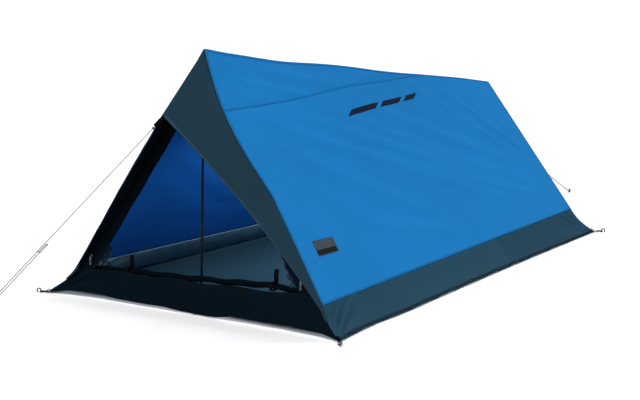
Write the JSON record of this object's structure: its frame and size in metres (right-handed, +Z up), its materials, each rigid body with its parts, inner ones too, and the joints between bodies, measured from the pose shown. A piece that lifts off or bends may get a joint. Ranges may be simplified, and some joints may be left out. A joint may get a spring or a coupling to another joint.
{
  "type": "ridge tent",
  "caption": "Pitched ridge tent with a front hood, rolled mesh door, rear vent, poles, pegs and guylines with sliding runners.",
  "frame": {"origin": "on the ground, under the middle of the groundsheet", "axes": "+Z up, +Y from the entrance to the rear, +X to the right of a person who looks in at the entrance"},
  "size_m": [1.3122, 4.7628, 1.0816],
  "materials": {
    "roof_fabric": "coated woven polyester, slight sheen",
    "skirt_fabric": "coated woven polyester, matt",
    "hood_fabric": "coated woven polyester, matt",
    "sill_fabric": "coated woven polyester, matt",
    "floor_fabric": "coated groundsheet",
    "mesh_fabric": "fine insect mesh",
    "webbing": "woven polyester webbing and tape",
    "pole": "glass fibre, satin",
    "steel": "zinc plated",
    "plastic": "moulded",
    "runner": "moulded, translucent white",
    "cord": "braided cord"
  },
  "bodies": {
    "tent": {"roof_left": "roof_fabric", "roof_right": "roof_fabric", "rear_wall": "roof_fabric", "skirt_left": "skirt_fabric", "skirt_right": "skirt_fabric", "rear_skirt": "skirt_fabric", "ridge_tape": "webbing", "hood_left": "hood_fabric", "hood_right": "hood_fabric", "vent_hood_left": "hood_fabric", "vent_hood_right": "hood_fabric", "front_sill": "sill_fabric", "door_band_left": "sill_fabric", "door_band_right": "sill_fabric", "zip_track_left": "webbing", "zip_track_right": "webbing", "rear_vent_mesh": "mesh_fabric", "rolled_door": "mesh_fabric", "door_tie_left": "webbing", "door_tie_right": "webbing", "groundsheet": "floor_fabric", "front_pole_lower": "pole", "front_pole_middle": "pole", "front_pole_upper": "pole", "front_pole_ferrule_1": "steel", "front_pole_ferrule_2": "steel", "front_pole_foot": "plastic", "front_pole_pocket": "webbing", "front_shock_cord": "cord", "rear_pole_lower": "pole", "rear_pole_upper": "pole", "rear_pole_ferrule_1": "steel", "rear_pole_foot": "plastic", "rear_pole_pocket": "webbing", "rear_shock_cord": "cord", "peg_loop_front_left": "webbing", "peg_loop_front_right": "webbing", "peg_loop_rear_left": "webbing", "peg_loop_rear_right": "webbing", "guy_loop_front": "webbing", "guyline_front": "cord", "guyline_return_front": "cord", "guy_loop_rear": "webbing", "guyline_rear": "cord", "guyline_return_rear": "cord"},
    "peg_front_left": {"peg_front_left": "steel"},
    "peg_front_right": {"peg_front_right": "steel"},
    "peg_rear_left": {"peg_rear_left": "steel"},
    "peg_rear_right": {"peg_rear_right": "steel"},
    "peg_guy_front": {"peg_guy_front": "steel"},
    "peg_guy_rear": {"peg_guy_rear": "steel"},
    "runner_front": {"runner_front": "runner", "runner_knot_front": "cord"},
    "runner_rear": {"runner_rear": "runner", "runner_knot_rear": "cord"},
    "zip_slider_left": {"zip_slider_left": "steel"},
    "zip_slider_right": {"zip_slider_right": "steel"},
    "zip_pull_left": {"zip_pull_left": "steel"},
    "zip_pull_right": {"zip_pull_right": "steel"}
  },
  "joints": [
    {"name": "peg_front_left_pull", "type": "slide", "parent": "tent", "child": "peg_front_left", "axis": [-0.288, -0.112, 0.9511], "range_m": [0, 0.2]},
    {"name": "peg_front_right_pull", "type": "slide", "parent": "tent", "child": "peg_front_right", "axis": [0.1751, -0.2546, 0.9511], "range_m": [0, 0.2]},
    {"name": "peg_rear_left_pull", "type": "slide", "parent": "tent", "child": "peg_rear_left", "axis": [-0.2335, 0.2024, 0.9511], "range_m": [0, 0.2]},
    {"name": "peg_rear_right_pull", "type": "slide", "parent": "tent", "child": "peg_rear_right", "axis": [0.2335, 0.2024, 0.9511], "range_m": [0, 0.2]},
    {"name": "peg_guy_front_pull", "type": "slide", "parent": "tent", "child": "peg_guy_front", "axis": [0, -0.4764, 0.8792], "range_m": [0, 0.2]},
    {"name": "peg_guy_rear_pull", "type": "slide", "parent": "tent", "child": "peg_guy_rear", "axis": [0, 0.4081, 0.9129], "range_m": [0, 0.2]},
    {"name": "runner_front_slide", "type": "slide", "parent": "tent", "child": "runner_front", "axis": [0, -0.8792, -0.4764], "range_m": [0, 0.5], "deforming": ["guyline_return_front"]},
    {"name": "runner_rear_slide", "type": "slide", "parent": "tent", "child": "runner_rear", "axis": [0, 0.9129, -0.4081], "range_m": [0, 0.4], "deforming": ["guyline_return_rear"]},
    {"name": "zip_left_slide", "type": "slide", "parent": "tent", "child": "zip_slider_left", "axis": [0.5165, 0.0779, 0.8527], "range_m": [0, 0.74]},
    {"name": "zip_right_slide", "type": "slide", "parent": "tent", "child": "zip_slider_right", "axis": [-0.5548, 0.0757, 0.8286], "range_m": [0, 0.73]},
    {"name": "zip_pull_left_hinge", "type": "hinge", "parent": "zip_slider_left", "child": "zip_pull_left", "pos_m": [-0.43078, -1.17902, 0.16001], "axis": [-1, 0, 0], "range_deg": [0, 150]},
    {"name": "zip_pull_right_hinge", "type": "hinge", "parent": "zip_slider_right", "child": "zip_pull_right", "pos_m": [0.46017, -1.17646, 0.18801], "axis": [-1, 0, 0], "range_deg": [0, 150]}
  ]
}
